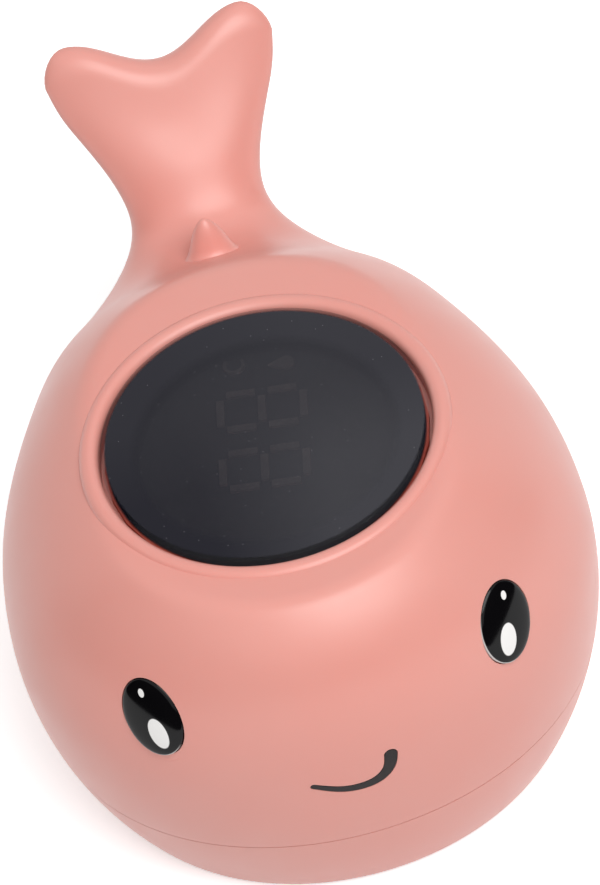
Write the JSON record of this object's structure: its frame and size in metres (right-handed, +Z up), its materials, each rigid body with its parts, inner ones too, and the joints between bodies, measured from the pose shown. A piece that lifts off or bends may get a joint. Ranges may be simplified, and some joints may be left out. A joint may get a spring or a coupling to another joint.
{
  "type": "baby bath thermometer",
  "caption": "Floating whale-shaped bath thermometer with a round digital display in its back, a two-lobed tail, a small fin and a flat base.",
  "frame": {"origin": "centre of the bounding box on the plane of the flat base", "axes": "+Y from the nose to the tail, +X to the whale's left side, +Z up out of the display"},
  "size_m": [0.0836, 0.1184, 0.0631],
  "materials": {
    "coral_plastic": "satin moulded ABS",
    "smoked_lens": "polished smoked acrylic",
    "foam_gasket": "closed-cell foam tape",
    "black_frame": "black moulded plastic",
    "milky_guide": "milky light-guide plastic",
    "circuit_board": "solder-masked glass fibre board",
    "chip_body": "moulded epoxy package",
    "black_gloss": "glossy black plastic",
    "silicone": "grey silicone rubber",
    "battery_jacket": "printed film over a steel can",
    "contact_steel": "nickel plated spring steel",
    "probe_steel": "polished stainless steel",
    "thermistor_coat": "epoxy dipped bead",
    "screw_steel": "nickel plated steel",
    "red_lead": "insulated wire",
    "black_lead": "insulated wire"
  },
  "bodies": {
    "root": {"upper_shell": "coral_plastic", "lower_shell": "coral_plastic", "battery_cover": "coral_plastic", "display_lens": "smoked_lens", "lens_gasket": "foam_gasket", "display_frame": "black_frame", "segment_diffuser": "milky_guide", "main_board": "circuit_board", "control_chip": "chip_body", "eye_left": "black_gloss", "eye_right": "black_gloss", "mouth_inlay": "black_gloss", "shell_seal": "silicone", "battery_cover_seal": "silicone", "probe_seal": "silicone", "pin_seal_1": "silicone", "pin_seal_2": "silicone", "battery_1": "battery_jacket", "battery_2": "battery_jacket", "bridge_contact": "contact_steel", "positive_contact": "contact_steel", "negative_contact": "contact_steel", "probe_cap": "probe_steel", "water_pin_1": "probe_steel", "water_pin_2": "probe_steel", "thermistor": "thermistor_coat", "shell_screw_1": "screw_steel", "shell_screw_2": "screw_steel", "shell_screw_3": "screw_steel", "shell_screw_4": "screw_steel", "battery_cover_screw": "screw_steel", "board_screw_1": "screw_steel", "board_screw_2": "screw_steel", "board_screw_3": "screw_steel", "lead_positive": "red_lead", "lead_negative": "black_lead", "lead_thermistor_1": "black_lead", "lead_thermistor_2": "black_lead", "lead_water_1": "red_lead", "lead_water_2": "red_lead"}
  },
  "joints": []
}
